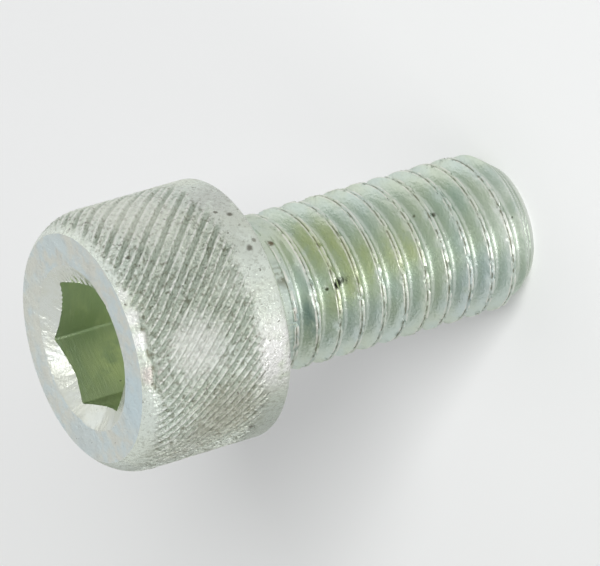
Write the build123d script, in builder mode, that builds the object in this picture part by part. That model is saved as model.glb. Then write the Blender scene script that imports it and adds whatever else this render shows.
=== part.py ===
from build123d import *
import math
import os

# A hexagon socket head cap screw, M8 by 16, with a knurled head and a thread up to the head.
# It is one piece of steel: a headed blank with a knurl, a socket and a rolled thread.
# The origin is the centre of the bearing face under the head. The head stands on +Z,
# and the threaded shank runs down -Z to a flat end.
# All lengths are in millimetres and all angles in degrees.

# Head
head_diameter = 12.9
head_height = 7.85
head_rear_round = 0.35
head_front_inset = 0.8
head_front_length = 1.7

# Knurl: left-hand helical grooves between a plain rear band and the rounded front edge
knurl_count = 38
knurl_angle = 45.0
knurl_depth = 0.15
knurl_groove_width = 0.42
knurl_band_length = 1.55
knurl_turn = 2.1

# Socket for a 6 mm hexagon key
socket_flats = 6.05
socket_depth = 4.35
socket_bottom_dish = 0.2
socket_mouth_diameter = 8.15
socket_mouth_angle = 120.0

# Neck under the head
neck_diameter = 7.8
neck_length = 1.6
neck_fillet = 0.4

# Thread: right-hand, one start, rounded root, narrow flat crest
thread_diameter = 7.9
thread_pitch = 1.25
thread_angle = 60.0
thread_root_radius = 0.18
thread_crest_width = 0.21
thread_start_below_neck = 0.5
thread_start_turn = -130.0
thread_runout_turns = 0.55
thread_runout_step = 0.04

# Shank and its end
shank_length = 16.0
end_diameter = 6.1
end_chamfer_length = 1.25

# How far a cutting shape runs past the surface that it cuts
cut_over = 0.12

# Head, worked out from the sizes above
head_radius = head_diameter / 2
knurl_length = head_height - knurl_band_length + cut_over
knurl_twist = -math.degrees(knurl_length * math.tan(math.radians(knurl_angle)) / head_radius)
knurl_flank = knurl_groove_width / 2 / knurl_depth
knurl_reach = head_radius + 2 * cut_over
socket_corner_radius = socket_flats / math.sqrt(3)
socket_mouth_radius = socket_mouth_diameter / 2
socket_mouth_depth = socket_mouth_radius / math.tan(math.radians(socket_mouth_angle / 2))

# Shank, worked out from the sizes above
neck_radius = neck_diameter / 2
crest_radius = thread_diameter / 2
end_radius = end_diameter / 2
bar_end = -shank_length - 3 * thread_pitch
trim_radius = crest_radius + thread_pitch

# Thread groove: a sharp V as wide as the pitch less the crest, with its root rounded off
half_angle = math.radians(thread_angle / 2)
groove_half_width = (thread_pitch - thread_crest_width) / 2
groove_sharp_depth = groove_half_width / math.tan(half_angle)
groove_depth = groove_sharp_depth - thread_root_radius * (1 / math.sin(half_angle) - 1)
root_radius = crest_radius - groove_depth
groove_top = groove_depth + cut_over
groove_top_half_width = groove_half_width + cut_over * math.tan(half_angle)
runout_height = thread_pitch * thread_runout_turns
runout_radius = root_radius + thread_runout_step
runout_cone = math.degrees(math.atan2(groove_top - thread_runout_step, runout_height))
full_depth_z = -neck_length - thread_start_below_neck - runout_height
full_depth_turn = thread_start_turn - 360 * thread_runout_turns
full_turns = math.ceil((shank_length + full_depth_z) / thread_pitch) + 1


def groove_section(path):
    """The groove's section at the start of a helical path: x points away from the axis."""
    with BuildSketch(Plane(origin=path @ 0, x_dir=(1, 0, 0), z_dir=path % 0)) as section:
        Polygon(
            (groove_depth - groove_sharp_depth, 0),
            (groove_top, groove_top_half_width),
            (groove_top, -groove_top_half_width),
            align=None,
        )
        fillet(section.vertices().sort_by(Axis.X)[0], thread_root_radius)
    return section.sketch


# Knurl form: a twisted bar with V grooves, on a collar that leaves the rear band plain
with BuildSketch(Plane.XY.offset(knurl_band_length)) as knurl_section:
    Circle(head_radius + cut_over)
    with PolarLocations(0, knurl_count, start_angle=knurl_turn):
        Polygon(
            (head_radius - knurl_depth, 0),
            (knurl_reach, (knurl_reach - head_radius + knurl_depth) * knurl_flank),
            (knurl_reach, (head_radius - knurl_depth - knurl_reach) * knurl_flank),
            align=None,
            mode=Mode.SUBTRACT,
        )

with BuildPart() as knurl_form:
    add(
        Solid.extrude_linear_with_rotation(
            knurl_section.sketch.face(),
            center=(0, 0, knurl_band_length),
            normal=(0, 0, knurl_length),
            angle=knurl_twist,
        )
    )
    with BuildSketch(Plane.XY.offset(knurl_band_length)):
        Circle(head_radius + cut_over)
    extrude(amount=-knurl_band_length)

# Thread groove at full depth, from below the end of the shank up to its run-out
with BuildPart() as thread_groove:
    with BuildLine() as groove_path:
        Helix(
            thread_pitch,
            full_turns * thread_pitch,
            root_radius,
            center=(0, 0, full_depth_z - full_turns * thread_pitch),
        )
    sweep(groove_section(groove_path.line), path=groove_path.line, is_frenet=True)

# Run-out: the same groove, a small step up from the thread's root, climbing out on a cone
with BuildPart() as thread_runout:
    with BuildLine() as runout_path:
        Helix(
            thread_pitch,
            runout_height,
            runout_radius,
            center=(0, 0, full_depth_z),
            cone_angle=runout_cone,
        )
    sweep(groove_section(runout_path.line), path=runout_path.line, is_frenet=True)

with BuildPart() as bolt:
    # Head blank: flat bearing face, soft rear edge, plain side and rounded front edge
    with BuildSketch(Plane.XZ):
        with BuildLine():
            bearing = Line((0, 0), (head_radius - head_rear_round, 0))
            rear = RadiusArc(
                bearing @ 1,
                (head_radius, head_rear_round),
                -head_rear_round,
            )
            side = Line(rear @ 1, (head_radius, head_height - head_front_length))
            front = TangentArc(
                side @ 1,
                (head_radius - head_front_inset, head_height),
                tangent=side % 1,
            )
            face = Line(front @ 1, (0, head_height))
            Line(face @ 1, bearing @ 0)
        make_face()
    revolve(axis=Axis.Z)
    add(knurl_form.part, mode=Mode.INTERSECT)

    # Hexagon socket: six flats, a slightly dished bottom and a conical mouth
    with BuildSketch(Plane.XY.offset(head_height)):
        RegularPolygon(socket_corner_radius, 6)
    extrude(amount=-socket_depth, mode=Mode.SUBTRACT)
    with BuildSketch(Plane.XZ):
        Polygon(
            (0, head_height - socket_depth - socket_bottom_dish),
            (socket_flats / 2, head_height - socket_depth),
            (0, head_height - socket_depth),
            align=None,
        )
    revolve(axis=Axis.Z, mode=Mode.SUBTRACT)
    with BuildSketch(Plane.XZ):
        Polygon(
            (0, head_height - socket_mouth_depth),
            (socket_mouth_radius, head_height),
            (0, head_height),
            align=None,
        )
    revolve(axis=Axis.Z, mode=Mode.SUBTRACT)

    # Shank blank: filleted neck, then a bar at the crest diameter, longer than the shank
    with BuildSketch(Plane.XZ):
        with BuildLine():
            root = Line((0, 0), (neck_radius + neck_fillet, 0))
            corner = RadiusArc(root @ 1, (neck_radius, -neck_fillet), -neck_fillet)
            Polyline(
                corner @ 1,
                (neck_radius, -neck_length),
                (crest_radius, neck_radius - crest_radius - neck_length),
                (crest_radius, bar_end),
                (0, bar_end),
                root @ 0,
            )
        make_face()
    revolve(axis=Axis.Z)

    # Thread and its run-out
    add(thread_groove.part, rotation=(0, 0, full_depth_turn), mode=Mode.SUBTRACT)
    add(thread_runout.part, rotation=(0, 0, full_depth_turn), mode=Mode.SUBTRACT)

    # End: the bar trimmed to length, with a chamfer down to the thread's root
    with BuildSketch(Plane.XZ):
        Polygon(
            (0, -shank_length),
            (end_radius, -shank_length),
            (crest_radius, end_chamfer_length - shank_length),
            (trim_radius, end_chamfer_length - shank_length),
            (trim_radius, bar_end - thread_pitch),
            (0, bar_end - thread_pitch),
            align=None,
        )
    revolve(axis=Axis.Z, mode=Mode.SUBTRACT)

bolt.part.label = "bolt"
os.makedirs("parts", exist_ok=True)
export_step(bolt.part, "parts/bolt.step")
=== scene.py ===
"""Looks of a zinc plated hexagon socket head cap screw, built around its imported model."""

import logging
import math
from collections.abc import Callable, Iterator, Sequence
from contextlib import contextmanager
from dataclasses import dataclass
from enum import Enum

import bpy
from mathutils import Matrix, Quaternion, Vector, noise


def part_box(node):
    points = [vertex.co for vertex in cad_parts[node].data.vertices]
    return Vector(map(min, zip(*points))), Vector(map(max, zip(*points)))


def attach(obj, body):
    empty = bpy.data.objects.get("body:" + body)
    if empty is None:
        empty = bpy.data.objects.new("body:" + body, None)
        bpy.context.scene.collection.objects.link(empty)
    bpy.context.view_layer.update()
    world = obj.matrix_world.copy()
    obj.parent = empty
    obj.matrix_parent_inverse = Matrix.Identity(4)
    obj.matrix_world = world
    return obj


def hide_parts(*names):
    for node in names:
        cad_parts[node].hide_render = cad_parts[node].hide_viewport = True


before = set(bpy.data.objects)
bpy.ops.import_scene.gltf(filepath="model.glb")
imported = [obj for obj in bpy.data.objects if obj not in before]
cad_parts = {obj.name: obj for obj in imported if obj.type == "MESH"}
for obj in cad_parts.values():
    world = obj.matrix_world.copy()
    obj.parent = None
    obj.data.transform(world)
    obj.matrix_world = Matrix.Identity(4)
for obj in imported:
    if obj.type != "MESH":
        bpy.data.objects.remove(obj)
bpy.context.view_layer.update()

log = logging.getLogger("cap_screw")

MM = 0.001
# How near two points lie to be merged, a face to a plane to lie in it, and a point to a cut
MERGE_DISTANCE = 0.002 * MM
PLANE_DISTANCE = 0.01 * MM
CUT_DISTANCE = 0.0001 * MM
# The least upright part of the normal of a flat end
UPRIGHT = 0.9
SMOOTH_ANGLE = math.radians(34)
# How hollow a plain stretch counts, where there is neither a groove nor a lip
PLAIN = 0.3

Point = tuple[float, float]
Place = tuple[float, float, float]
Colour = tuple[float, float, float]
NodeSocket = bpy.types.NodeSocket


class Zone(Enum):
    """The stretches of the screw that have a finish of their own."""

    FACE = "face"
    MOUTH = "mouth"
    SOCKET = "socket"
    BARREL = "barrel"
    SHANK = "shank"


class Cut(Enum):
    """The ways in which two closed pieces are combined."""

    JOIN = "UNION"
    TAKE_AWAY = "DIFFERENCE"
    KEEP_COMMON = "INTERSECT"


def smooth_step(low: float, high: float, value: float) -> float:
    """Ease from 0 at low to 1 at high.

    Args:
        low: Where the rise starts.
        high: Where the rise ends.
        value: The place that is asked about.

    Returns:
        A number from 0 to 1.
    """
    share = min(max((value - low) / (high - low), 0.0), 1.0)
    return share * share * (3 - 2 * share)


def along(line: Sequence[Point], place: float) -> float:
    """Read a height off a broken line.

    Args:
        line: The line's points, from left to right, as (place, height).
        place: Where along the line the height is wanted.

    Returns:
        The height there.
    """
    for (left, low), (right, high) in zip(line, line[1:]):
        if place <= right:
            return low + (high - low) * (place - left) / (right - left)
    return line[-1][1]


def arc(centre: Point, radius: float, start: float, end: float, count: int) -> list[Point]:
    """Points along an arc, both ends included.

    Args:
        centre: The arc's centre, as (distance from the axis, height).
        radius: The arc's radius.
        start: The angle of the first point, in degrees from outwards.
        end: The angle of the last point, in degrees.
        count: How many steps the arc has.

    Returns:
        The points, as (distance from the axis, height).
    """
    angles = [math.radians(start + (end - start) * i / count) for i in range(count + 1)]
    return [(centre[0] + radius * math.cos(a), centre[1] + radius * math.sin(a)) for a in angles]


def deselect_all() -> None:
    """Leave object mode's selection empty."""
    bpy.ops.object.select_all(action="DESELECT")


def pick(piece: bpy.types.Object) -> None:
    """Make a piece the only one that is selected, and the active one.

    Args:
        piece: The piece.
    """
    deselect_all()
    piece.select_set(True)
    bpy.context.view_layer.objects.active = piece


def apply_modifier(piece: bpy.types.Object, modifier: bpy.types.Modifier) -> None:
    """Turn a modifier's result into the piece's own mesh."""
    pick(piece)
    bpy.ops.object.modifier_apply(modifier=modifier.name)


@contextmanager
def edit_mode(whole: bool = False) -> Iterator[None]:
    """Work on the active piece in edit mode, and go back to object mode afterwards.

    Args:
        whole: Whether the whole mesh is selected at the start.

    Yields:
        Nothing, once, while edit mode lasts.
    """
    bpy.ops.object.mode_set(mode="EDIT")
    if whole:
        bpy.ops.mesh.select_all(action="SELECT")
    yield
    bpy.ops.object.mode_set(mode="OBJECT")


def deselect_mesh(piece: bpy.types.Object) -> None:
    """Make a piece the active one, with nothing of its mesh selected.

    Args:
        piece: The piece.
    """
    pick(piece)
    with edit_mode():
        bpy.ops.mesh.select_all(action="DESELECT")


def settle_new_piece(name: str) -> bpy.types.Object:
    """Name the primitive that was just added and move its place into its mesh.

    Args:
        name: The new piece's name.

    Returns:
        The piece.
    """
    piece = bpy.context.object
    piece.name = name
    bpy.ops.object.transform_apply(location=True, rotation=True, scale=True)
    return piece


def trace_profile(name: str, points: Sequence[Point]) -> bpy.types.Object:
    """Draw a profile in the plane y = 0 by extruding one vertex from point to point.

    Args:
        name: The new piece's name.
        points: The profile's points, as (distance from the axis, height).

    Returns:
        The piece, an open line of edges.
    """
    start = Vector((points[0][0], 0, points[0][1]))
    deselect_all()
    bpy.ops.mesh.primitive_plane_add(size=MM, location=start)
    piece = settle_new_piece(name)
    with edit_mode(whole=True):
        bpy.ops.mesh.merge(type="CENTER")
        for (near, low), (far, high) in zip(points, points[1:]):
            step = (far - near, 0, high - low)
            bpy.ops.mesh.extrude_vertices_move(TRANSFORM_OT_translate={"value": step})
    return piece


def turn_profile(piece: bpy.types.Object, steps: int, rise: float = 0, turns: int = 1) -> None:
    """Turn a profile about the axis into a wall, or into a helical wall if it rises.

    Args:
        piece: The profile, which becomes the wall.
        steps: How many faces go round in one turn.
        rise: How far the wall climbs in each turn.
        turns: How many turns it makes.
    """
    screw = piece.modifiers.new("turn", "SCREW")
    screw.axis = "Z"
    screw.angle = math.tau
    screw.steps = steps
    screw.render_steps = steps
    screw.screw_offset = rise
    screw.iterations = turns
    screw.use_merge_vertices = rise == 0
    screw.merge_threshold = MERGE_DISTANCE
    apply_modifier(piece, screw)
    with edit_mode(whole=True):
        bpy.ops.mesh.remove_doubles(threshold=MERGE_DISTANCE)
        bpy.ops.mesh.normals_make_consistent(inside=False)


def add_rings(piece: bpy.types.Object, rings: Sequence[Point], end: float) -> None:
    """Extrude one flat end of a cylinder through a row of rings.

    Args:
        piece: A cylinder about the axis.
        rings: The rings in order, as (radius, height).
        end: The height of the end that is extruded.
    """
    deselect_mesh(piece)
    radius = max(math.hypot(v.co.x, v.co.y) for v in piece.data.vertices)
    for face in piece.data.polygons:
        in_plane = abs(face.center.z - end) < PLANE_DISTANCE
        face.select = in_plane and abs(face.normal.z) > UPRIGHT
    with edit_mode():
        bpy.ops.mesh.select_mode(type="FACE")
        height = end
        for next_radius, next_height in rings:
            rise = (0, 0, next_height - height)
            bpy.ops.mesh.extrude_region_move(TRANSFORM_OT_translate={"value": rise})
            share = next_radius / radius
            bpy.ops.transform.resize(
                value=(share, share, 1), center_override=(0, 0, next_height)
            )
            radius, height = next_radius, next_height
        bpy.ops.mesh.select_mode(type="VERT")


def add_cylinder(
    name: str, radius: float, low: float, high: float, sides: int
) -> bpy.types.Object:
    """Add a cylinder about the axis, with its place in its mesh.

    Args:
        name: The new piece's name.
        radius: Its radius, to the corners.
        low: The height of its lower end.
        high: The height of its upper end.
        sides: How many sides it has.

    Returns:
        The piece.
    """
    deselect_all()
    bpy.ops.mesh.primitive_cylinder_add(
        vertices=sides, radius=radius, depth=high - low, location=(0, 0, (low + high) / 2)
    )
    return settle_new_piece(name)


def combine(piece: bpy.types.Object, tool: bpy.types.Object, cut: Cut) -> None:
    """Combine a closed piece with a closed tool, which is used up.

    Args:
        piece: The piece that is kept.
        tool: The piece that shapes it.
        cut: How the two are combined.
    """
    boolean = piece.modifiers.new("cut", "BOOLEAN")
    boolean.object = tool
    boolean.operation = cut.value
    boolean.solver = "MANIFOLD"
    apply_modifier(piece, boolean)
    bpy.data.objects.remove(tool)


def paint_weights(
    piece: bpy.types.Object, name: str, weigh: Callable[[Vector], float]
) -> bpy.types.VertexGroup:
    """Weigh every vertex of a piece by its place.

    Args:
        piece: The piece whose vertices are weighed.
        name: The vertex group's name.
        weigh: Gives a vertex's weight, from 0 to 1, from its place.

    Returns:
        The vertex group.
    """
    group = piece.vertex_groups.new(name=name)
    for vertex in piece.data.vertices:
        weight = weigh(vertex.co)
        if weight > 0:
            group.add([vertex.index], min(weight, 1.0), "REPLACE")
    return group


def press_in(
    piece: bpy.types.Object, name: str, depth: float, weigh: Callable[[Vector], float]
) -> None:
    """Press a piece's surface in, by a depth of its own at every vertex.

    Args:
        piece: The piece that is pressed.
        name: What the pressed pattern is called.
        depth: How deep it is where its weight is 1.
        weigh: Gives a vertex's weight, from 0 to 1, from its place.
    """
    weights = paint_weights(piece, name, weigh)
    press = piece.modifiers.new(name, "DISPLACE")
    press.vertex_group = weights.name
    press.mid_level = 0
    press.strength = -depth
    apply_modifier(piece, press)


def paint_values(
    piece: bpy.types.Object, name: str, value_of: Callable[[Vector], float]
) -> None:
    """Paint a value from 0 to 1 on every vertex of a piece, for its materials to read.

    Args:
        piece: The piece that is painted.
        name: The value's name.
        value_of: Gives a vertex's value from its place.
    """
    values = [min(max(value_of(v.co), 0.0), 1.0) for v in piece.data.vertices]
    piece.data.attributes.new(name, "FLOAT", "POINT").data.foreach_set("value", values)


def turn_between(start: float, end: float) -> float:
    """The angle from one turn about the axis to another, from minus half a turn to half."""
    return (end - start + math.pi) % math.tau - math.pi


@dataclass(frozen=True)
class Ragged:
    """How a line round the axis wanders."""

    reach: float
    per_radian: float
    seed: Point = (3.0, 1.0)

    def at(self, turn: float) -> float:
        """How far the line has wandered at a turn about the axis."""
        return self.reach * noise.noise(Vector((turn * self.per_radian, *self.seed)))


@dataclass(frozen=True)
class Dents:
    """Random dents, coarse ones and fine ones, as so many to a millimetre."""

    coarse: float
    fine: float
    fine_share: float
    level: float
    gain: float = 1.0

    def at(self, place: Vector) -> float:
        """How deep the dents are at a place, which is 0 below their level.

        Args:
            place: The vertex's place.

        Returns:
            The depth, from 0 to about 1.
        """
        coarse = noise.noise(place / MM * self.coarse)
        depth = coarse + self.fine_share * noise.noise(place / MM * self.fine)
        return self.gain * max(depth - self.level, 0.0)


@dataclass
class Head:
    """Round head: knurled side, rounded front edge, flat face and hexagon socket."""

    radius: float
    top: float
    rear_round: float = 0.35 * MM
    rear_steps: int = 5
    front_inset: float = 0.8 * MM
    front_length: float = 1.7 * MM
    front_steps: int = 15
    ridges: int = 38
    columns_per_ridge: int = 20
    row_height: float = 0.2 * MM
    groove_depth: float = 0.14 * MM
    groove_turn: float = math.radians(6.36)
    # How far the ridges wander to the side, and how fast over the head's width and height
    wobble: float = 0.05
    wobble_round: float = 9.0
    wobble_along: float = 0.7
    wobble_rate: float = 1.3
    # Chips out of the ridges: how many to a radian and to a millimetre, and how deep
    chips_round: float = 40.0
    chips_along: float = 2.1
    chip_level: float = 0.12
    chip_depth: float = 0.44
    knurl_slope: float = math.radians(45)
    knurl_start: float = 1.55 * MM
    knurl_start_fade: Point = (0.25 * MM, 0.55 * MM)
    knurl_start_ragged: Ragged = Ragged(0.5 * MM, 9.0)
    knurl_end: float = 7.15 * MM
    knurl_end_fade: Point = (0.35 * MM, 0.3 * MM)
    knurl_end_ragged: Ragged = Ragged(0.12 * MM, 7.0)
    knurl_end_lean: float = 0.45 * MM
    knurl_end_lean_turn: float = math.radians(-120)
    fold_turn: float = math.radians(-178)
    fold_reach: float = math.radians(26)
    fold_width: float = 0.11 * MM
    mouth_radius: float = 4.075 * MM
    mouth_slope: float = math.radians(60)
    mouth_edge: float = 0.03 * MM
    mouth_rings: int = 6
    mouth_ring_step: float = 0.17 * MM
    mouth_depth: float = 0.8 * MM
    mouth_dents: Dents = Dents(coarse=1.5, fine=4.2, fine_share=0.6, level=-0.15)
    mouth_dent_depth: float = 0.05 * MM
    socket_flats: float = 6.05 * MM
    socket_depth: float = 4.35 * MM
    socket_dish: float = 0.2 * MM
    socket_corner: float = 0.12 * MM
    # Where the ridges stay whole, and how deep their second groove is there
    whole_turn: float = math.radians(-105)
    whole_reach: float = math.radians(44)
    whole_ragged: Ragged = Ragged(0.25, 5.0, (8.0, 2.0))
    whole_split: float = 0.4
    ridge_tops: Point = (0.25, 0.75)
    # Depth over one ridge, from groove to groove, as (place, share of the groove's depth)
    ridge_section: tuple[Point, ...] = (
        (0.0, 1.0),
        (0.08, 0.88),
        (0.15, 0.45),
        (0.2, 0.08),
        (0.25, 0.0),
        (0.3, 0.08),
        (0.35, 0.38),
        (0.42, 0.72),
        (0.5, 0.8),
        (0.58, 0.72),
        (0.65, 0.38),
        (0.7, 0.08),
        (0.75, 0.0),
        (0.8, 0.08),
        (0.85, 0.45),
        (0.92, 0.88),
        (1.0, 1.0),
    )

    def front_round(self) -> float:
        """Radius of the arc between the side and the face."""
        return (self.front_inset**2 + self.front_length**2) / (2 * self.front_inset)

    def side_end(self) -> float:
        """The height where the straight side ends and the front edge starts."""
        return self.top - self.front_length

    def profile(self) -> list[Point]:
        """Draw the head's outline, from the bearing face round to the bottom of the mouth.

        Returns:
            The outline's points, as (distance from the axis, height).
        """
        rear_centre = (self.radius - self.rear_round, self.rear_round)
        rear = arc(rear_centre, self.rear_round, -90, 0, self.rear_steps)
        side_end = self.side_end()
        rows = round((side_end - self.rear_round) / self.row_height)
        step = (side_end - self.rear_round) / rows
        side = [(self.radius, self.rear_round + step * i) for i in range(1, rows)]
        round_radius = self.front_round()
        face_angle = math.degrees(math.asin(self.front_length / round_radius))
        front_centre = (self.radius - round_radius, side_end)
        front = arc(front_centre, round_radius, 0, face_angle, self.front_steps)
        edge = self.mouth_edge
        drop = edge * math.tan(math.pi / 2 - self.mouth_slope)
        tip = self.mouth_radius / math.tan(self.mouth_slope)
        rings = [
            self.mouth_radius - edge - self.mouth_ring_step * (i + 1)
            for i in range(self.mouth_rings)
        ]
        return [
            (0, 0),
            *rear,
            *side,
            *front,
            ((front[-1][0] + self.mouth_radius) / 2, self.top),
            (self.mouth_radius + edge, self.top),
            (self.mouth_radius + edge * 0.3, self.top - drop * 0.25),
            (self.mouth_radius - edge, self.top - drop),
            *[(radius, self.top - tip + radius / math.tan(self.mouth_slope)) for radius in rings],
            (0, self.top - tip),
        ]

    def knurl_weight(self, place: Vector) -> float:
        """How deep the knurl is at a place on the side, before the ridges are twisted.

        Args:
            place: The vertex's place.

        Returns:
            The share of the groove's full depth.
        """
        first_row = self.knurl_start - 3 * self.row_height
        if place.z < first_row or place.z > self.top - 2 * PLANE_DISTANCE:
            return 0.0
        turn = math.atan2(place.y, place.x)
        spot = Vector((
            math.cos(turn) * self.wobble_round,
            math.sin(turn) * self.wobble_round,
            place.z / MM * self.wobble_along,
        ))
        wobble = noise.noise(spot * self.wobble_rate) * self.wobble
        period = math.tau / self.ridges
        share = ((self.groove_turn - turn) / period + wobble) % 1.0
        twisted = turn - place.z * math.tan(self.knurl_slope) / self.radius
        depth = along(self.ridge_section, share)
        if self.ridge_tops[0] < share < self.ridge_tops[1]:
            depth *= self.split_share(twisted)
        chip_spot = (turn * self.chips_round, place.z / MM * self.chips_along, 4.0)
        chips = max(noise.noise(Vector(chip_spot)) - self.chip_level, 0.0)
        depth += self.chip_depth * chips * (1 - depth)
        depth *= self.knurl_share(twisted, place.z)
        return max(depth, self.fold_weight(twisted, place.z))

    def split_share(self, turn: float) -> float:
        """How deep the groove is that splits each ridge in two.

        Args:
            turn: A turn about the axis.

        Returns:
            The share of its full depth.
        """
        off = abs(turn_between(self.whole_turn, turn)) + self.whole_ragged.at(turn)
        split = smooth_step(self.whole_reach * 0.5, self.whole_reach, off)
        return self.whole_split + (1 - self.whole_split) * split

    def knurl_end_at(self, turn: float) -> float:
        """The height where the ridges end on the front edge, at a turn about the axis."""
        lean = self.knurl_end_lean * math.cos(turn - self.knurl_end_lean_turn)
        return self.knurl_end + lean + self.knurl_end_ragged.at(turn)

    def fold_weight(self, turn: float, height: float) -> float:
        """How deep a place is in the fold that closes off the ridges on the front edge.

        Args:
            turn: The place's turn about the axis.
            height: Its height.

        Returns:
            A number from 0 to 1, in the middle of the fold.
        """
        off = abs(turn_between(self.fold_turn, turn))
        reach = 1 - smooth_step(self.fold_reach * 0.5, self.fold_reach, off)
        past_end = (height - self.knurl_end_at(turn)) / self.fold_width
        return reach * math.exp(-(past_end**2))

    def knurl_share(self, turn: float, height: float) -> float:
        """How far a place is inside the knurl.

        Args:
            turn: The place's turn about the axis.
            height: Its height.

        Returns:
            1 among the ridges, 0 on the plain bands, and between them where they fade.
        """
        start = self.knurl_start + self.knurl_start_ragged.at(turn)
        end = self.knurl_end_at(turn)
        before, after = self.knurl_start_fade
        share = smooth_step(start - before, start + after, height)
        before, after = self.knurl_end_fade
        return share * (1 - smooth_step(end - before, end + after, height))

    def mouth_weight(self, place: Vector) -> float:
        """How deep the punch that formed the mouth left it dented.

        Args:
            place: The vertex's place.

        Returns:
            The share of the full depth, which is 0 outside the mouth.
        """
        outside = math.hypot(place.x, place.y) > self.mouth_radius + self.mouth_edge * 2
        if outside or place.z < self.top - self.mouth_depth:
            return 0.0
        return self.mouth_dents.at(place)

    def blank(self) -> bpy.types.Object:
        """Turn the head without its socket, groove it straight, then twist it.

        Returns:
            The closed blank.
        """
        piece = trace_profile("head", self.profile())
        turn_profile(piece, self.ridges * self.columns_per_ridge)
        press_in(piece, "knurl", self.groove_depth, self.knurl_weight)
        press_in(piece, "mouth", self.mouth_dent_depth, self.mouth_weight)
        twist = piece.modifiers.new("twist", "SIMPLE_DEFORM")
        twist.deform_method = "TWIST"
        twist.deform_axis = "Z"
        twist.angle = -self.top * math.tan(self.knurl_slope) / self.radius
        apply_modifier(piece, twist)
        return piece

    def socket_tool(self) -> bpy.types.Object:
        """Make the hexagonal form that cuts the socket, with its dished bottom.

        Returns:
            The closed form, which stands out of the face.
        """
        bottom = self.top - self.socket_depth
        corner = self.socket_flats / math.sqrt(3)
        tool = add_cylinder("socket_tool", corner, bottom, self.top + MM, 6)
        pick(tool)
        with edit_mode(whole=True):
            bpy.ops.transform.rotate(
                value=math.radians(30), orient_axis="Z", center_override=(0, 0, bottom)
            )
        deselect_mesh(tool)
        for edge in tool.data.edges:
            ends = [tool.data.vertices[i].co.z for i in edge.vertices]
            edge.select = abs(ends[0] - ends[1]) > MM
        with edit_mode():
            bpy.ops.mesh.bevel(offset=self.socket_corner, segments=3, affect="EDGES")
        # The dish starts a hair inside the walls, which keeps the wall's faces whole
        dish = [
            (corner * 0.995, bottom - 0.001 * MM),
            (corner * 0.5, bottom - self.socket_dish * 0.5),
            (corner * 0.02, bottom - self.socket_dish),
        ]
        add_rings(tool, dish, bottom)
        return tool

    def build(self) -> bpy.types.Object:
        """Build the head.

        Returns:
            The finished head, closed, with a plain bearing face.
        """
        piece = self.blank()
        combine(piece, self.socket_tool(), Cut.TAKE_AWAY)
        log.info("head: %d faces", len(piece.data.polygons))
        return piece


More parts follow.
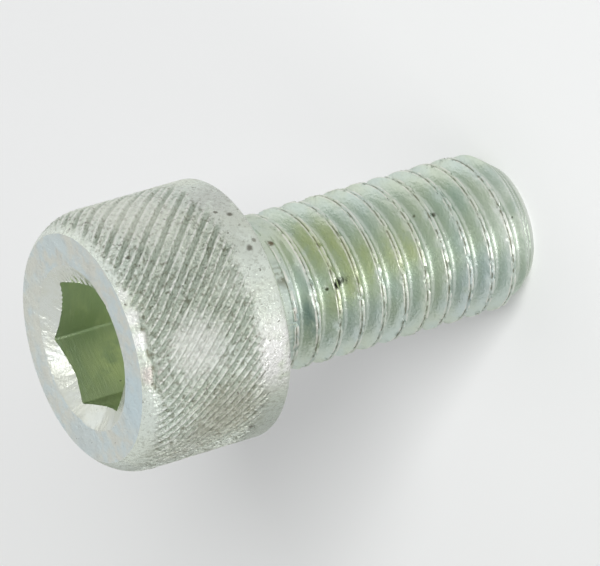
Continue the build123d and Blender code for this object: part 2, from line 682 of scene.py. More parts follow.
@dataclass
class Shank:
    """Neck, right-hand thread with its run-out, and chamfered flat end."""

    end: float
    neck_radius: float = 3.9 * MM
    neck_length: float = 1.6 * MM
    neck_fillet: float = 0.4 * MM
    crest_radius: float = 3.95 * MM
    pitch: float = 1.25 * MM
    flank_angle: float = math.radians(30)
    crest_width: float = 0.27 * MM
    crest_dip: float = 0.06 * MM
    # The lip on the crest's edges: how far it hangs back, and its slope, the flank's
    crest_lip: float = 0.012 * MM
    crest_lip_slope: float = 0.58
    seam_width: float = 0.05 * MM
    root_round: float = 0.18 * MM
    groove_height: float = -2.928 * MM
    runout_height: float = -2.1 * MM
    runout_turns: float = 0.45
    runout_power: float = 4.0
    end_radius: float = 3.05 * MM
    end_chamfer: float = 1.25 * MM
    end_lines: tuple[float, ...] = (0.24, 0.46, 0.7)
    end_line_depth: float = 0.09 * MM
    steps: int = 192
    overlap: float = 0.5 * MM
    margin: float = 0.35 * MM
    # Two pits in the crests, in millimetres
    pits: tuple[Place, ...] = ((-3.9, -0.35, -4.35), (-3.78, -0.34, -3.77))
    pit_radius: float = 0.2 * MM
    nicks: Dents = Dents(coarse=2.6, fine=6.1, fine_share=0.5, level=0.14, gain=2.0)
    nick_depth: float = 0.09 * MM
    nick_reach: float = 0.05 * MM
    # Where the two edges of a turned line on the chamfer lie, as shares of its length
    end_line_edges: Point = (-0.08, 0.04)
    crest_fade: float = 0.1 * MM

    def groove_depth(self) -> float:
        """Work out the depth of the thread's groove.

        Returns:
            The depth, from the crests to the rounded root.
        """
        half_width = (self.pitch - self.crest_width) / 2
        sharp = half_width / math.tan(self.flank_angle)
        return sharp - self.root_round * (1 / math.sin(self.flank_angle) - 1)

    def pitch_profile(self) -> list[Point]:
        """Draw one pitch of the thread, from the middle of a groove to the next one's.

        Returns:
            The points, as (distance from the axis, height over the groove's middle).
        """
        root = self.crest_radius - self.groove_depth()
        centre = (root + self.root_round, 0.0)
        rounding = [(r, abs(z)) for r, z in arc(centre, self.root_round, 180, 120, 3)]
        crest = self.pitch / 2
        edge = crest - self.crest_width / 2
        lip = (self.crest_radius - self.crest_lip, edge - self.crest_lip * self.crest_lip_slope)
        last = rounding[-1]
        flank = [
            (last[0] + (lip[0] - last[0]) * share, last[1] + (lip[1] - last[1]) * share)
            for share in (0.25, 0.5, 0.75)
        ]
        half = [
            *rounding,
            *flank,
            lip,
            (self.crest_radius, crest - self.crest_width * 0.42),
            (self.crest_radius - self.crest_dip * 0.6, crest - self.crest_width * 0.2),
            (self.crest_radius - self.crest_dip, crest),
        ]
        other = [(r, self.pitch - z) for r, z in reversed(half[:-1])]
        return half + other

    def groove_turn(self, place: Vector) -> float:
        """How many turns a place is up the thread from where its groove crosses the +X side."""
        turn = math.atan2(place.y, place.x) / math.tau
        return turn + round((place.z - self.groove_height) / self.pitch - turn)

    def runout_weight(self, place: Vector) -> float:
        """How far a place is moved out to the crest, so that the groove climbs out of the shank.

        Args:
            place: The vertex's place.

        Returns:
            The share of the way from where the vertex is to the crest.
        """
        gap = self.crest_radius - math.hypot(place.x, place.y)
        if gap < MERGE_DISTANCE / 2:
            return 0.0
        last = (self.runout_height - self.groove_height) / self.pitch
        climb = (self.groove_turn(place) - last) / self.runout_turns + 1
        rise = max(climb, 0.0) ** self.runout_power
        return min(rise * self.groove_depth() / gap, 1.0)

    def from_crest(self, place: Vector) -> float:
        """How far along the axis a place is from the middle of the nearest crest.

        Args:
            place: The vertex's place.

        Returns:
            The distance, from 0 to half a pitch.
        """
        turn = math.atan2(place.y, place.x) / math.tau
        climb = (place.z - self.groove_height) / self.pitch - turn
        return abs(climb - math.floor(climb) - 0.5) * self.pitch

    def off_crest(self, place: Vector) -> float:
        """0 on a crest, rising to 1 beside it."""
        edge = self.crest_width / 2
        return smooth_step(edge, edge + self.crest_fade, self.from_crest(place))

    def seam_share(self, place: Vector) -> float:
        """How far a place is in the fold that rolling leaves along the middle of the crest.

        Args:
            place: The vertex's place.

        Returns:
            A number from 0 to 1, in the middle of the fold.
        """
        radius = math.hypot(place.x, place.y)
        if radius < self.crest_radius - self.crest_dip * 2 or place.z > -self.neck_length:
            return 0.0
        return 1 - smooth_step(0, self.seam_width, self.from_crest(place))

    def nick_weight(self, place: Vector) -> float:
        """How deep the thread is nicked or pitted.

        Args:
            place: The vertex's place.

        Returns:
            The share of the full depth, which is 0 off the crests and the pits.
        """
        for pit in self.pits:
            if (place - Vector(pit) * MM).length < self.pit_radius:
                return 1.0
        if math.hypot(place.x, place.y) < self.crest_radius - self.nick_reach:
            return 0.0
        return self.nicks.at(place)

    def rod(self) -> bpy.types.Object:
        """Turn the threaded rod.

        Returns:
            The rod, closed, and longer than the shank at both ends.
        """
        below = math.ceil((self.groove_height - self.end) / self.pitch) + 1
        first = self.groove_height - below * self.pitch
        profile = [(radius, first + height) for radius, height in self.pitch_profile()]
        piece = trace_profile("shank", profile)
        turn_profile(piece, self.steps, rise=self.pitch, turns=below + 2)
        runout = paint_weights(piece, "runout", self.runout_weight)
        climb = piece.modifiers.new("runout", "CAST")
        climb.cast_type = "CYLINDER"
        climb.use_z = False
        climb.use_radius_as_size = False
        climb.size = self.crest_radius
        climb.factor = 1
        climb.vertex_group = runout.name
        apply_modifier(piece, climb)
        press_in(piece, "nicks", self.nick_depth, self.nick_weight)
        for height, side in ((-self.neck_length + self.margin, 1), (self.end - self.margin, -1)):
            with edit_mode(whole=True):
                bpy.ops.mesh.bisect(
                    plane_co=(0, 0, height),
                    plane_no=(0, 0, side),
                    use_fill=True,
                    clear_outer=True,
                    threshold=CUT_DISTANCE,
                )
        return piece

    def envelope(self) -> bpy.types.Object:
        """Make the form that trims the rod: a step up from the neck and the chamfered end.

        Returns:
            The closed form, which holds all that the rod may keep.
        """
        outer = self.crest_radius + self.margin
        slope = self.end_chamfer / (self.crest_radius - self.end_radius)
        chamfer_top = self.end + slope * (outer - self.end_radius)
        step_low = -self.neck_length - (outer - self.neck_radius)
        tool = add_cylinder("envelope", outer, chamfer_top, step_low, self.steps)
        before, after = self.end_line_edges
        line = ((before, 0.0), (0.0, self.end_line_depth), (after, 0.0))
        rings = []
        for share in self.end_lines:
            for off, depth in line:
                height = self.end + (1 - share - off) * self.end_chamfer
                rings.append((self.end_radius + (height - self.end) / slope - depth, height))
        add_rings(tool, [*rings, (self.end_radius, self.end)], chamfer_top)
        add_rings(tool, [(self.neck_radius, -self.neck_length)], step_low)
        return tool

    def neck(self) -> bpy.types.Object:
        """Make the neck and the fillet under the head.

        Returns:
            The neck, closed, run into the rod below and into the head above.
        """
        low = -self.neck_length - self.margin
        piece = add_cylinder("neck", self.neck_radius, low, -self.neck_fillet, self.steps)
        centre = (self.neck_radius + self.neck_fillet, -self.neck_fillet)
        fillet = arc(centre, self.neck_fillet, 180, 96, 6)[1:]
        add_rings(piece, [*fillet, (fillet[-1][0], self.overlap)], -self.neck_fillet)
        return piece

    def build(self) -> bpy.types.Object:
        """Build the shank.

        Returns:
            The finished shank, closed, with its neck standing into the head.
        """
        piece = self.rod()
        combine(piece, self.envelope(), Cut.KEEP_COMMON)
        combine(piece, self.neck(), Cut.JOIN)
        log.info("shank: %d faces", len(piece.data.polygons))
        return piece


def combine_screw(head: Head, shank: Shank) -> bpy.types.Object:
    """Build the head and the shank and join them into one closed piece.

    Args:
        head: The head's sizes.
        shank: The shank's sizes.

    Returns:
        The whole screw, smooth except over its sharp edges.
    """
    piece = head.build()
    combine(piece, shank.build(), Cut.JOIN)
    piece.name = "cap_screw"
    piece.vertex_groups.clear()
    pick(piece)
    bpy.ops.object.shade_smooth_by_angle(angle=SMOOTH_ANGLE)
    return piece


class Sheet:
    """One material's nodes, added and linked as on the shader editor's sheet."""

    # How far out a soft ball is full, and the fraying and the edge of a ragged one
    full_share: float = 0.25
    fray_per_mm: float = 3.2
    fray_share: float = 0.9
    fray_edge: Point = (1.3, 0.7)

    def __init__(self, name: str) -> None:
        """Start a new material with a shader and the object's own coordinates.

        Args:
            name: The material's name.
        """
        self.material = bpy.data.materials.new(name)
        self.material.use_nodes = True
        self.nodes = self.material.node_tree.nodes
        self.links = self.material.node_tree.links
        self.shader = self.nodes["Principled BSDF"]
        self.place = self.nodes.new("ShaderNodeTexCoord").outputs["Object"]

    def stretched(self, scale: Place) -> NodeSocket:
        """Stretch the object's coordinates along the axes.

        Args:
            scale: How much tighter a pattern gets along each axis.

        Returns:
            The stretched coordinates.
        """
        node = self.nodes.new("ShaderNodeMapping")
        node.inputs["Scale"].default_value = scale
        self.links.new(self.place, node.inputs["Vector"])
        return node.outputs["Vector"]

    def clouds(
        self,
        per_mm: float,
        detail: float = 3.0,
        roughness: float = 0.55,
        place: NodeSocket | None = None,
    ) -> NodeSocket:
        """Add a noise pattern.

        Args:
            per_mm: How many patches it has to a millimetre.
            detail: How many finer patterns lie on it.
            roughness: How strong these are.
            place: The coordinates that it follows, or none for the object's own.

        Returns:
            The pattern's value, around a half.
        """
        node = self.nodes.new("ShaderNodeTexNoise")
        node.inputs["Scale"].default_value = per_mm / MM
        node.inputs["Detail"].default_value = detail
        node.inputs["Roughness"].default_value = roughness
        self.links.new(place or self.place, node.inputs["Vector"])
        return node.outputs["Fac"]

    def ramp(
        self,
        value: NodeSocket,
        low: float,
        high: float,
        top: float = 1.0,
        bottom: float = 0.0,
    ) -> NodeSocket:
        """Rise smoothly with a value.

        Args:
            value: The value.
            low: Where the rise starts.
            high: Where it ends.
            top: What comes out from there on.
            bottom: What comes out before the rise.

        Returns:
            The risen value.
        """
        node = self.nodes.new("ShaderNodeMapRange")
        node.interpolation_type = "SMOOTHSTEP"
        node.inputs["From Min"].default_value = low
        node.inputs["From Max"].default_value = high
        node.inputs["To Min"].default_value = bottom
        node.inputs["To Max"].default_value = top
        self.links.new(value, node.inputs["Value"])
        return node.outputs["Result"]

    def reckon(self, operation: str, first: NodeSocket, second: NodeSocket | float) -> NodeSocket:
        """Work out one value from two.

        Args:
            operation: The math node's operation.
            first: The first value.
            second: The second value, or a plain number.

        Returns:
            The result.
        """
        node = self.nodes.new("ShaderNodeMath")
        node.operation = operation
        self.links.new(first, node.inputs[0])
        if isinstance(second, float):
            node.inputs[1].default_value = second
        else:
            self.links.new(second, node.inputs[1])
        return node.outputs[0]

    def times(self, first: NodeSocket, second: NodeSocket | float) -> NodeSocket:
        """The product of two values."""
        return self.reckon("MULTIPLY", first, second)

    def plus(self, first: NodeSocket, second: NodeSocket) -> NodeSocket:
        """The sum of two values."""
        return self.reckon("ADD", first, second)

    def highest(self, first: NodeSocket, second: NodeSocket) -> NodeSocket:
        """The larger of two values."""
        return self.reckon("MAXIMUM", first, second)

    def tint(
        self, share: NodeSocket, under: NodeSocket | Colour, over: NodeSocket | Colour
    ) -> NodeSocket:
        """Lay a colour over another by a share."""
        return mix_colours(self.material.node_tree, share, under, over)

    def near(self, centre: Place, radius: float, ragged: bool = False) -> NodeSocket:
        """Make a soft ball round a place on the object.

        Args:
            centre: The ball's centre.
            radius: The ball's radius.
            ragged: Whether its outline is ragged.

        Returns:
            1 in the middle of the ball, 0 outside it.
        """
        node = self.nodes.new("ShaderNodeVectorMath")
        node.operation = "DISTANCE"
        node.inputs[1].default_value = centre
        self.links.new(self.place, node.inputs[0])
        distance = node.outputs["Value"]
        if ragged:
            fray = self.times(self.clouds(self.fray_per_mm), radius * self.fray_share)
            out, full = self.fray_edge
            return self.ramp(self.plus(distance, fray), radius * out, radius * full)
        return self.ramp(distance, radius, radius * self.full_share)

    def attribute(self, name: str) -> NodeSocket:
        """Read a value painted on the mesh.

        Args:
            name: The value's name.

        Returns:
            The value.
        """
        node = self.nodes.new("ShaderNodeAttribute")
        node.attribute_name = name
        return node.outputs["Fac"]

    def emboss(
        self, height: NodeSocket, depth: float, under: NodeSocket | None = None
    ) -> NodeSocket:
        """Raise the surface by a pattern.

        Args:
            height: The pattern.
            depth: How far it rises from 0 to 1.
            under: The embossed surface that it lies on, if there is one.

        Returns:
            The raised surface's normal.
        """
        node = self.nodes.new("ShaderNodeBump")
        node.inputs["Strength"].default_value = 1
        node.inputs["Distance"].default_value = depth
        self.links.new(height, node.inputs["Height"])
        if under is not None:
            self.links.new(under, node.inputs["Normal"])
        return node.outputs["Normal"]


def mix_colours(
    tree: bpy.types.NodeTree,
    share: NodeSocket,
    under: NodeSocket | Colour,
    over: NodeSocket | Colour,
) -> NodeSocket:
    """Lay a colour over another by a share.

    Args:
        tree: The nodes of the material or the world.
        share: How much of the upper colour shows.
        under: The lower colour.
        over: The upper colour.

    Returns:
        The mixed colour.
    """
    node = tree.nodes.new("ShaderNodeMix")
    node.data_type = "RGBA"
    tree.links.new(share, node.inputs["Factor"])
    for name, colour in (("A", under), ("B", over)):
        if isinstance(colour, tuple):
            node.inputs[name].default_value = (*colour, 1)
        else:
            tree.links.new(colour, node.inputs[name])
    return node.outputs["Result"]


@dataclass(frozen=True)
class StainOrPaintedLight:
    """A patch of colour on the film: a stain, a pit, a darker patch or a painted highlight. Its
    place and size are in millimetres.
    """

    centre: Place
    radius: float
    colour: Colour
    strength: float

    def ball(self, sheet: Sheet, ragged: bool = False) -> NodeSocket:
        """The patch's soft ball on the object, in real size."""
        x, y, z = self.centre
        return sheet.near((x * MM, y * MM, z * MM), self.radius * MM, ragged)


@dataclass(frozen=True)
class ZincFilm:
    """Bright zinc with its thin coloured film, as it lies on one stretch of the screw.

    A pattern has so many patches to a millimetre, and an edge of a pattern is the pair of
    values between which its patches end.
    """

    name: str
    silver: Colour
    film: Colour
    hollow: Colour | None = None
    lip: Colour | None = None
    film_per_mm: float = 0.28
    film_edge: Point = (0.38, 0.62)
    stain_per_mm: float = 0.9
    stain_edge: Point = (0.25, 0.5)
    lip_end: float = 0.12
    lip_share: float = 0.8
    lip_per_mm: float = 1.6
    lip_edge: Point = (0.3, 0.55)
    hollow_start: float = 0.45
    hollow_end: float = 1.0
    hollow_share: float = 0.8
    mottle: float = 0.0
    mottle_per_mm: float = 5.0
    mottle_edge: Point = (0.38, 0.62)
    # Where the dirt and the grain start and are full, on the value painted as "knurl"
    among_edge: Point = (-0.7, 1.0)
    speck: Colour = (0.2, 0.2, 0.13)
    speck_level: float = 0.6
    speck_share: float = 0.5
    speck_per_mm: float = 4.4
    speck_edge: Point = (0.03, 0.08)
    seam_per_mm: float = 2.4
    seam_edge: Point = (0.4, 0.56)
    pit: Colour = (0.1, 0.09, 0.06)
    pit_level: float = 0.67
    pit_share: float = 0.8
    pit_per_mm: float = 2.6
    pit_edge: float = 0.05
    roughness: float = 0.34
    roughness_spread: float = 0.14
    roughness_per_mm: float = 1.4
    roughness_among: float = 0.78
    grain_per_mm: float = 7.0
    grain_depth: float = 0.03 * MM
    dent_per_mm: float = 1.1
    dent_depth: float = 0.03 * MM
    streak: Place = (1.0, 1.0, 1.0)
    # Patches laid on the film: real stains and pits, darker patches, and painted highlights that
    # stand in for glare
    stains_and_painted_highlights: tuple[StainOrPaintedLight, ...] = ()
    spots_and_painted_highlights: tuple[StainOrPaintedLight, ...] = ()

    def colour(self, sheet: Sheet, place: NodeSocket) -> NodeSocket:
        """Mix the film's colours with its stains, hollows, worn lips, dirt, pits and spots, and
        with painted highlights.

        Args:
            sheet: The material's nodes.
            place: The coordinates that the film follows.

        Returns:
            The mixed colour.
        """
        film = sheet.ramp(sheet.clouds(self.film_per_mm, place=place), *self.film_edge)
        colour = sheet.tint(film, self.silver, self.film)
        for patch in self.stains_and_painted_highlights:
            clouds = sheet.clouds(self.stain_per_mm)
            ragged = sheet.ramp(clouds, *self.stain_edge, patch.strength)
            colour = sheet.tint(sheet.times(patch.ball(sheet), ragged), colour, patch.colour)
        hollow = sheet.attribute("hollow")
        among = sheet.ramp(sheet.attribute("knurl"), *self.among_edge)
        if self.hollow is not None:
            mottle = sheet.clouds(self.mottle_per_mm, detail=4.0, roughness=0.7)
            mottle = sheet.times(sheet.ramp(mottle, *self.mottle_edge, self.mottle), among)
            deep = sheet.plus(hollow, mottle)
            deep = sheet.ramp(deep, self.hollow_start, self.hollow_end, self.hollow_share)
            colour = sheet.tint(deep, colour, self.hollow)
        if self.lip is not None:
            worn = sheet.ramp(sheet.clouds(self.lip_per_mm), *self.lip_edge, self.lip_share)
            lip = sheet.times(sheet.ramp(hollow, self.lip_end, 0.0), worn)
            colour = sheet.tint(lip, colour, self.lip)
        return self.marks_and_painted_highlights(sheet, among, colour)

    def marks_and_painted_highlights(self, sheet: Sheet, among: NodeSocket, colour: NodeSocket) -> NodeSocket:
        """Lay specks, the dirt in the folds, pits and single spots over a colour; some of the
        spots are painted highlights.

        Args:
            sheet: The material's nodes.
            among: How far a place is among the ridges or on the thread.
            colour: The clean film's colour.

        Returns:
            The film's colour with its dirt, pits and painted highlights.
        """
        specks = sheet.clouds(self.speck_per_mm, detail=5.0, roughness=0.8)
        low, high = self.speck_level - self.speck_edge[0], self.speck_level + self.speck_edge[1]
        speckled = sheet.times(sheet.ramp(specks, low, high, self.speck_share), among)
        colour = sheet.tint(speckled, colour, self.speck)
        seam = sheet.ramp(sheet.clouds(self.seam_per_mm), *self.seam_edge)
        seam = sheet.times(sheet.attribute("seam"), seam)
        colour = sheet.tint(seam, colour, self.speck)
        pits = sheet.clouds(self.pit_per_mm, detail=4.0, roughness=0.65)
        pitted = sheet.ramp(pits, self.pit_level, self.pit_level + self.pit_edge, self.pit_share)
        colour = sheet.tint(pitted, colour, self.pit)
        # Single spots: pits, darker patches and painted highlights
        for spot in self.spots_and_painted_highlights:
            share = sheet.times(spot.ball(sheet, ragged=True), spot.strength)
            colour = sheet.tint(share, colour, spot.colour)
        return colour

    def build(self) -> bpy.types.Material:
        """Make the material.

        Returns:
            The material, with its colour, its gloss and its grain.
        """
        sheet = Sheet(self.name)
        place = sheet.stretched(self.streak)
        sheet.links.new(self.colour(sheet, place), sheet.shader.inputs["Base Color"])
        matt = sheet.nodes.new("ShaderNodeMapRange")
        matt.inputs["To Min"].default_value = self.roughness - self.roughness_spread / 2
        matt.inputs["To Max"].default_value = self.roughness + self.roughness_spread / 2
        sheet.links.new(sheet.clouds(self.roughness_per_mm, place=place), matt.inputs["Value"])
        knurl = sheet.attribute("knurl")
        among = sheet.ramp(knurl, 0.0, 1.0, 1.0, self.roughness_among)
        rough = sheet.times(matt.outputs["Result"], among)
        sheet.links.new(rough, sheet.shader.inputs["Roughness"])
        dents = sheet.emboss(sheet.clouds(self.dent_per_mm, place=place), self.dent_depth)
        grains = sheet.clouds(self.grain_per_mm, place=place)
        grains = sheet.times(grains, sheet.ramp(knurl, *self.among_edge))
        grain = sheet.emboss(grains, self.grain_depth, dents)
        sheet.links.new(grain, sheet.shader.inputs["Normal"])
        sheet.shader.inputs["Metallic"].default_value = 1.0
        return sheet.material


@dataclass
class CapScrew:
    """The whole screw: its shape, its finishes and its place in the frame."""

    head: Head
    shank: Shank
    films: dict[Zone, ZincFilm]
    # Faces of the socket are steeper than this, and its mouth reaches this far down
    mouth_normal: float = 0.3
    mouth_finish_depth: float = 0.7 * MM
    # How far in from the head's side its face starts, in front insets
    face_insets: float = 1.2
    # How hollow the flanks count at least, and where a groove outside the knurl counts
    beside_crest: float = 0.14
    deep_groove: Point = (0.4, 0.7)

    def zone_of(self, centre: Vector, normal: Vector) -> Zone:
        """Find the stretch of the screw that a face belongs to.

        Args:
            centre: The face's centre.
            normal: Its normal.

        Returns:
            The stretch.
        """
        head = self.head
        radius = math.hypot(centre.x, centre.y)
        if centre.z < -MERGE_DISTANCE / 2:
            return Zone.SHANK
        if radius < head.mouth_radius:
            below_mouth = centre.z <= head.top - self.mouth_finish_depth
            steep = normal.z < self.mouth_normal
            return Zone.SOCKET if steep or below_mouth else Zone.MOUTH
        if radius < head.radius - head.front_inset and centre.z > head.top / 2:
            return Zone.FACE
        return Zone.BARREL

    def hollow_of(self, place: Vector) -> float:
        """How deep a vertex lies in the knurl or the thread.

        Args:
            place: The vertex's place.

        Returns:
            0 on top of the ridges and crests, rising to 1 at the bottom of the grooves.
        """
        head, shank = self.head, self.shank
        radius = math.hypot(place.x, place.y)
        if place.z < -shank.neck_length:
            if place.z < shank.end + PLANE_DISTANCE:
                return PLAIN
            depth = (shank.crest_radius - radius) / shank.groove_depth()
            return max(depth, self.beside_crest * shank.off_crest(place))
        if place.z < 0 or radius < head.radius - head.front_inset * self.face_insets:
            return PLAIN
        outline = head.radius
        if place.z > head.side_end():
            curve = head.front_round()
            outline += math.sqrt(curve**2 - (place.z - head.side_end()) ** 2) - curve
        elif place.z < head.rear_round:
            outline = radius
        depth = (outline - radius) / head.groove_depth
        share = head.knurl_share(math.atan2(place.y, place.x), place.z)
        deep = depth * smooth_step(*self.deep_groove, depth)
        return max(PLAIN + (depth - PLAIN) * share, deep)

    def knurl_of(self, place: Vector) -> float:
        """How far a vertex is on the thread or among the knurl's ridges.

        Args:
            place: The vertex's place.

        Returns:
            1 on the thread and among the ridges, less on the head's plain stretches.
        """
        if place.z < -self.shank.neck_length:
            return 1.0
        if place.z < 0 or math.hypot(place.x, place.y) < self.head.radius - self.head.front_inset:
            return 0.0
        return self.head.knurl_share(math.atan2(place.y, place.x), place.z)

    def seam_of(self, place: Vector) -> float:
        """How far a vertex is in the fold on the thread's crest or on the head's front edge.

        Args:
            place: The vertex's place.

        Returns:
            A number from 0 to 1, in the middle of the fold.
        """
        if place.z < self.head.side_end():
            return self.shank.seam_share(place)
        if math.hypot(place.x, place.y) < self.head.radius - self.head.front_inset:
            return 0.0
        return self.head.fold_weight(math.atan2(place.y, place.x), place.z)

    def build(self) -> bpy.types.Object:
        """Build the screw, dress it and put it in the frame.

        Returns:
            The screw, in one piece.
        """
        piece = combine_screw(self.head, self.shank)
        mesh = piece.data
        zones = list(Zone)
        mesh.materials.clear()
        for zone in zones:
            mesh.materials.append(self.films[zone].build())
        for face in mesh.polygons:
            face.material_index = zones.index(self.zone_of(face.center, face.normal))
        paint_values(piece, "hollow", self.hollow_of)
        paint_values(piece, "knurl", self.knurl_of)
        paint_values(piece, "seam", self.seam_of)
        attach(piece, "root")
        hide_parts("bolt")
        return piece


@dataclass
class Floor:
    """Plain pale floor, which runs out of sight on every side.

    It has a colour under light, one of its own to the camera and one that the metal mirrors,
    and each of them has a shade on the side away from the window.
    """

    height: float
    width: float = 4.0
    roughness: float = 0.9
    lit: Colour = (0.835, 0.84, 0.84)
    lit_shade: Colour = (0.80, 0.805, 0.80)
    bright: Colour = (0.87, 0.875, 0.875)
    shaded: Colour = (0.72, 0.73, 0.725)
    shade_start: float = -4 * MM
    shade_end: float = 26 * MM
    shadow_share: float = 0.85
    mirrored: Colour = (0.78, 0.79, 0.78)
    mirrored_shade: Colour = (0.44, 0.45, 0.43)
    window_pool: Colour = (1.0, 1.0, 1.0)
    window_pool_centre: Place = (-46 * MM, 24 * MM, -16 * MM)
    window_pool_radius: float = 48 * MM

    def build(self) -> bpy.types.Object:
        """Build the floor under the screw.

        Returns:
            The floor.
        """
        deselect_all()
        bpy.ops.mesh.primitive_plane_add(size=self.width, location=(0, 0, self.height))
        floor = settle_new_piece("floor")
        floor.data.materials.append(self.paint())
        return floor

    def paint(self) -> bpy.types.Material:
        """Make the floor's material.

        Returns:
            The material, which glows a little to the camera and wholly in the metal.
        """
        sheet = Sheet("floor_paint")
        sheet.shader.inputs["Roughness"].default_value = self.roughness
        axes = sheet.nodes.new("ShaderNodeSeparateXYZ")
        sheet.links.new(sheet.place, axes.inputs[0])
        shade = sheet.ramp(axes.outputs["Y"], self.shade_start, self.shade_end)
        lit = sheet.tint(shade, self.lit, self.lit_shade)
        sheet.links.new(lit, sheet.shader.inputs["Base Color"])
        seen = sheet.tint(shade, self.bright, self.shaded)
        mirrored = sheet.tint(shade, self.mirrored, self.mirrored_shade)
        pool = sheet.near(self.window_pool_centre, self.window_pool_radius)
        mirrored = sheet.tint(pool, mirrored, self.window_pool)
        path = sheet.nodes.new("ShaderNodeLightPath").outputs
        glow = sheet.nodes.new("ShaderNodeEmission")
        glowing = sheet.tint(path["Is Glossy Ray"], seen, mirrored)
        sheet.links.new(glowing, glow.inputs["Color"])
        direct = sheet.times(path["Is Camera Ray"], 1 - self.shadow_share)
        reflected = sheet.highest(path["Is Glossy Ray"], path["Is Transmission Ray"])
        share = sheet.highest(direct, reflected)
        blend = sheet.nodes.new("ShaderNodeMixShader")
        sheet.links.new(share, blend.inputs["Fac"])
        sheet.links.new(sheet.shader.outputs["BSDF"], blend.inputs[1])
        sheet.links.new(glow.outputs["Emission"], blend.inputs[2])
        output = sheet.nodes["Material Output"]
        sheet.links.new(blend.outputs["Shader"], output.inputs["Surface"])
        return sheet.material


def aim_at(
    target: Vector, azimuth: float, elevation: float, distance: float
) -> tuple[Vector, Quaternion]:
    """Where something stands and how it is turned, if it looks at a place from a direction.

    Args:
        target: The place that it looks at.
        azimuth: The direction that it stands in, in degrees from +X towards +Y.
        elevation: How far it stands above the horizon, in degrees.
        distance: How far away it stands.

    Returns:
        Its location and its rotation.
    """
    turn, lift = math.radians(azimuth), math.radians(elevation)
    flat = math.cos(lift)
    back = Vector((math.cos(turn) * flat, math.sin(turn) * flat, math.sin(lift)))
    return target + back * distance, (-back).to_track_quat("-Z", "Y")


@dataclass
class Lamp:
    """A soft square lamp."""

    name: str
    azimuth: float
    elevation: float
    width: float
    brightness: float
    distance: float = 0.45
    mirrored: bool = True

    def build(self) -> None:
        """Hang the lamp. Its power gives its face the named brightness, where 1 is white."""
        data = bpy.data.lights.new(self.name, "AREA")
        data.shape = "SQUARE"
        data.size = self.width
        data.energy = self.brightness * math.pi * self.width**2
        lamp = bpy.data.objects.new(self.name, data)
        bpy.context.scene.collection.objects.link(lamp)
        lamp.visible_camera = False
        lamp.visible_glossy = self.mirrored
        lamp.rotation_mode = "QUATERNION"
        lamp.location, lamp.rotation_quaternion = aim_at(
            Vector((0, 0, -4 * MM)), self.azimuth, self.elevation, self.distance
        )


@dataclass
class Studio:
    """Camera, lamps and pale surroundings."""

    aim: Place = (0.01, -0.043, -4.402)
    azimuth: float = -167.012
    elevation: float = 27.762
    roll: float = -106.468
    distance: float = 291.173 * MM
    lens: float = 360.0
    sensor: float = 36.0
    clip: Point = (0.01, 20.0)
    # The world's colour in reflections, as light on the screw, and behind the floor
    surround: Colour = (0.72, 0.73, 0.73)
    fill: Colour = (0.34, 0.345, 0.345)
    backdrop: Colour = (0.82, 0.825, 0.825)
    lamps: tuple[Lamp, ...] = (
        Lamp("window", 165, 16, 0.24, 2.7),
        Lamp("softbox", -40, 32, 0.36, 0.3),
        Lamp("overhead", -110, 86, 0.16, 1.7),
        Lamp("key", -155, 30, 0.42, 29.6, distance=1.2, mirrored=False),
    )

    def build(self) -> None:
        """Set up the camera, the lamps and the world."""
        self.set_camera()
        for lamp in self.lamps:
            lamp.build()
        self.set_world()
        bpy.context.scene.view_settings.view_transform = "Standard"
        log.info("studio: %d lamps", len(self.lamps))

    def set_camera(self) -> None:
        """Stand the camera at the photograph's angle to the screw."""
        data = bpy.data.cameras.new("camera")
        data.lens = self.lens
        data.sensor_width = self.sensor
        data.clip_start, data.clip_end = self.clip
        camera = bpy.data.objects.new("camera", data)
        bpy.context.scene.collection.objects.link(camera)
        camera.rotation_mode = "QUATERNION"
        aim = Vector(self.aim) * MM
        camera.location, level = aim_at(aim, self.azimuth, self.elevation, self.distance)
        camera.rotation_quaternion = level @ Quaternion((0, 0, 1), math.radians(self.roll))
        bpy.context.scene.camera = camera

    def set_world(self) -> None:
        """Surround the screw with pale light."""
        world = bpy.data.worlds.new("surround")
        world.use_nodes = True
        tree = world.node_tree
        path = tree.nodes.new("ShaderNodeLightPath").outputs
        colour: NodeSocket | Colour = self.fill
        for ray, over in (
            ("Is Glossy Ray", self.surround),
            ("Is Transmission Ray", self.surround),
            ("Is Camera Ray", self.backdrop),
        ):
            colour = mix_colours(tree, path[ray], colour, over)
        tree.links.new(colour, tree.nodes["Background"].inputs["Color"])
        bpy.context.scene.world = world


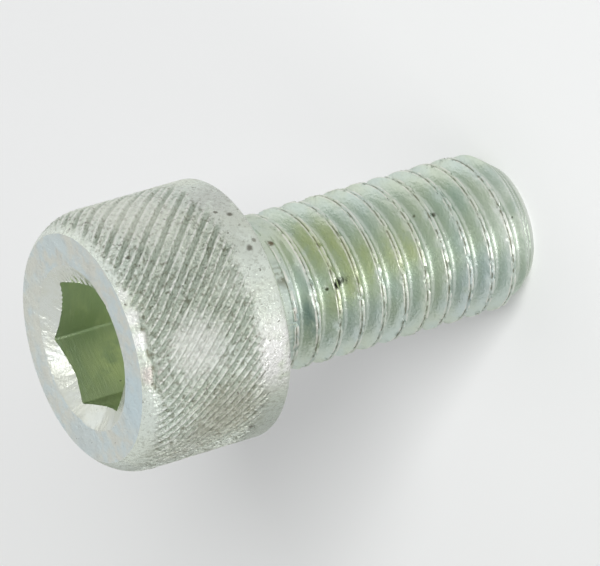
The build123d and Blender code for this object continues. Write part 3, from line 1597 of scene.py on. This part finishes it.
def zinc_films() -> dict[Zone, ZincFilm]:
    """Name the film on each stretch of the screw.

    Returns:
        The films by their stretches.
    """
    yellow, blue = (0.63, 0.69, 0.41), (0.62, 0.71, 0.74)
    return {
        Zone.FACE: ZincFilm(
            name="zinc_face",
            silver=(0.69, 0.77, 0.77),
            film=(0.75, 0.76, 0.69),
            film_per_mm=0.9,
            pit_level=0.7,
            roughness=0.42,
            grain_depth=0.14 * MM,
            dent_depth=0.14 * MM,
            stains_and_painted_highlights=(
                StainOrPaintedLight((-4.25, 2.1, 7.85), 2.6, (0.64, 0.77, 0.82), 0.8),
                StainOrPaintedLight((1.5, 4.72, 7.85), 2.0, (0.66, 0.73, 0.73), 0.8),
                StainOrPaintedLight((4.6, -1.5, 7.85), 3.4, (0.77, 0.78, 0.70), 0.8),
            ),
        ),
        Zone.MOUTH: ZincFilm(
            name="zinc_mouth",
            silver=(0.76, 0.79, 0.74),
            film=(0.72, 0.74, 0.66),
            film_per_mm=0.8,
            speck_level=0.68,
            pit_level=0.72,
            roughness=0.36,
            grain_depth=0.05 * MM,
        ),
        Zone.SOCKET: ZincFilm(
            name="zinc_socket",
            silver=(0.58, 0.67, 0.50),
            film=(0.68, 0.75, 0.55),
            streak=(1.0, 1.0, 5.0),
            speck_level=0.72,
            pit_level=0.72,
            roughness=0.42,
            stains_and_painted_highlights=(
                StainOrPaintedLight((2.5, 1.8, 4.5), 2.4, (0.9, 0.95, 0.66), 1.0),
                StainOrPaintedLight((1.0, 3.1, 6.3), 2.0, (0.72, 0.78, 0.6), 1.0),
                StainOrPaintedLight((3.3, -0.6, 6.0), 1.8, (0.5, 0.6, 0.42), 0.9),
            ),
        ),
        Zone.BARREL: ZincFilm(
            name="zinc_barrel",
            silver=(0.82, 0.88, 0.81),
            film=(0.82, 0.87, 0.76),
            hollow=(0.50, 0.56, 0.48),
            lip=(1.0, 1.0, 0.96),
            lip_end=0.3,
            hollow_start=0.42,
            hollow_end=1.2,
            hollow_share=0.92,
            mottle=0.68,
            speck_level=0.532,
            speck_share=0.7,
            pit_level=0.64,
            grain_per_mm=8.0,
            grain_depth=0.14 * MM,
            stains_and_painted_highlights=(
                StainOrPaintedLight((-5.94, 0.82, 7.43), 0.8, (0.66, 0.54, 0.52), 0.6),
                StainOrPaintedLight((-4.9, -4.2, 0.7), 2.0, (0.62, 0.65, 0.58), 0.6),
                StainOrPaintedLight((-2.9, -5.8, 0.7), 2.2, (0.64, 0.66, 0.62), 0.8),
                # Painted highlight: a white patch on the rear band, standing in for glare
                StainOrPaintedLight((-6.25, 1.6, 0.72), 2.6, (1.0, 1.0, 0.98), 1.0),
            ),
            spots_and_painted_highlights=(
                # Painted highlights: pale patches on the knurl's side and pale strips on the
                # front edge, standing in for glare
                StainOrPaintedLight((-1.9, -6.1, 5.0), 3.6, (0.99, 1.0, 0.92), 0.5),
                StainOrPaintedLight((-4.2, -4.9, 4.2), 2.0, (0.92, 0.96, 0.87), 0.3),
                StainOrPaintedLight((-5.8, -0.9, 7.72), 0.75, (1.0, 1.0, 0.98), 0.8),
                StainOrPaintedLight((-5.45, -2.0, 7.72), 0.7, (1.0, 1.0, 0.98), 0.7),
                StainOrPaintedLight((-5.0, -3.0, 7.72), 0.6, (1.0, 1.0, 0.98), 0.5),
                StainOrPaintedLight((-6.4, 0.1, 5.0), 2.6, (1.0, 1.0, 0.97), 0.6),
                StainOrPaintedLight((-6.0, -2.4, 2.6), 1.8, (0.95, 0.98, 0.9), 0.22),
                # Two darker patches low on the knurl's side
                StainOrPaintedLight((-5.1, 3.9, 3.4), 3.2, (0.40, 0.39, 0.31), 0.55),
                StainOrPaintedLight((-3.8, 5.1, 5.4), 2.8, (0.42, 0.42, 0.36), 0.42),
                StainOrPaintedLight((-5.35, -3.59, 0.8), 0.3, (0.16, 0.15, 0.12), 0.85),
                StainOrPaintedLight((-3.91, -5.13, 0.76), 0.22, (0.14, 0.13, 0.1), 0.85),
                StainOrPaintedLight((-5.16, -3.87, 0.41), 0.18, (0.2, 0.19, 0.15), 0.7),
                StainOrPaintedLight((-3.86, 5.17, 1.64), 0.32, (0.15, 0.14, 0.11), 0.7),
            ),
        ),
        Zone.SHANK: ZincFilm(
            name="zinc_shank",
            silver=(0.65, 0.74, 0.68),
            film=(0.66, 0.73, 0.61),
            hollow=(0.60, 0.67, 0.58),
            lip=(0.92, 0.91, 0.84),
            lip_end=0.07,
            hollow_share=0.5,
            speck_level=0.66,
            pit_level=0.68,
            roughness=0.36,
            grain_per_mm=5.0,
            grain_depth=0.035 * MM,
            mottle=0.25,
            streak=(1.0, 1.0, 2.4),
            stains_and_painted_highlights=(
                StainOrPaintedLight((-2.64, -2.3, -3.89), 2.3, yellow, 0.75),
                StainOrPaintedLight((-3.37, -0.94, -5.56), 2.2, yellow, 0.7),
                StainOrPaintedLight((-3.35, -1.0, -8.21), 1.8, (0.72, 0.77, 0.50), 0.7),
                StainOrPaintedLight((-3.47, 0.46, -4.24), 1.3, yellow, 0.6),
                # A darker patch low on the neck, just under the head
                StainOrPaintedLight((-3.48, 1.1, -2.27), 1.6, (0.36, 0.46, 0.43), 0.9),
                StainOrPaintedLight((-2.74, 2.17, -5.75), 1.8, blue, 0.4),
                StainOrPaintedLight((-3.02, 1.78, -12.02), 2.4, blue, 0.55),
                StainOrPaintedLight((-2.43, -2.52, -11.81), 1.6, (0.56, 0.68, 0.62), 0.7),
                # Painted highlight: a pale patch over the shank's end and its chamfer
                StainOrPaintedLight((-3.1, -0.9, -15.4), 3.6, (0.92, 0.96, 0.9), 0.9),
            ),
            spots_and_painted_highlights=(
                StainOrPaintedLight((-3.36, -0.3, -4.68), 0.38, (0.02, 0.025, 0.01), 1.0),
                StainOrPaintedLight((-3.9, -0.35, -4.28), 0.3, (0.03, 0.035, 0.02), 0.95),
                StainOrPaintedLight((-3.58, -0.21, -3.85), 0.14, (0.05, 0.06, 0.02), 0.9),
                StainOrPaintedLight((-2.59, -2.23, -9.84), 0.16, (0.14, 0.14, 0.08), 0.8),
                StainOrPaintedLight((-2.59, -2.02, -10.9), 0.22, (0.07, 0.07, 0.04), 0.85),
                StainOrPaintedLight((-2.64, -2.94, -1.81), 0.3, (0.14, 0.1, 0.05), 0.9),
            ),
        ),
    }


def main() -> None:
    """Build the screw, its floor and its studio."""
    logging.basicConfig(level=logging.INFO, format="%(name)s: %(message)s")
    low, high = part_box("bolt")
    head = Head(radius=(high.x - low.x) / 2, top=high.z)
    screw = CapScrew(head=head, shank=Shank(end=low.z), films=zinc_films())
    for piece in (screw.build(), Floor(height=low.z).build()):
        log.info("%s: %d faces", piece.name, len(piece.data.polygons))
    Studio().build()


if __name__ == "__main__":
    main()
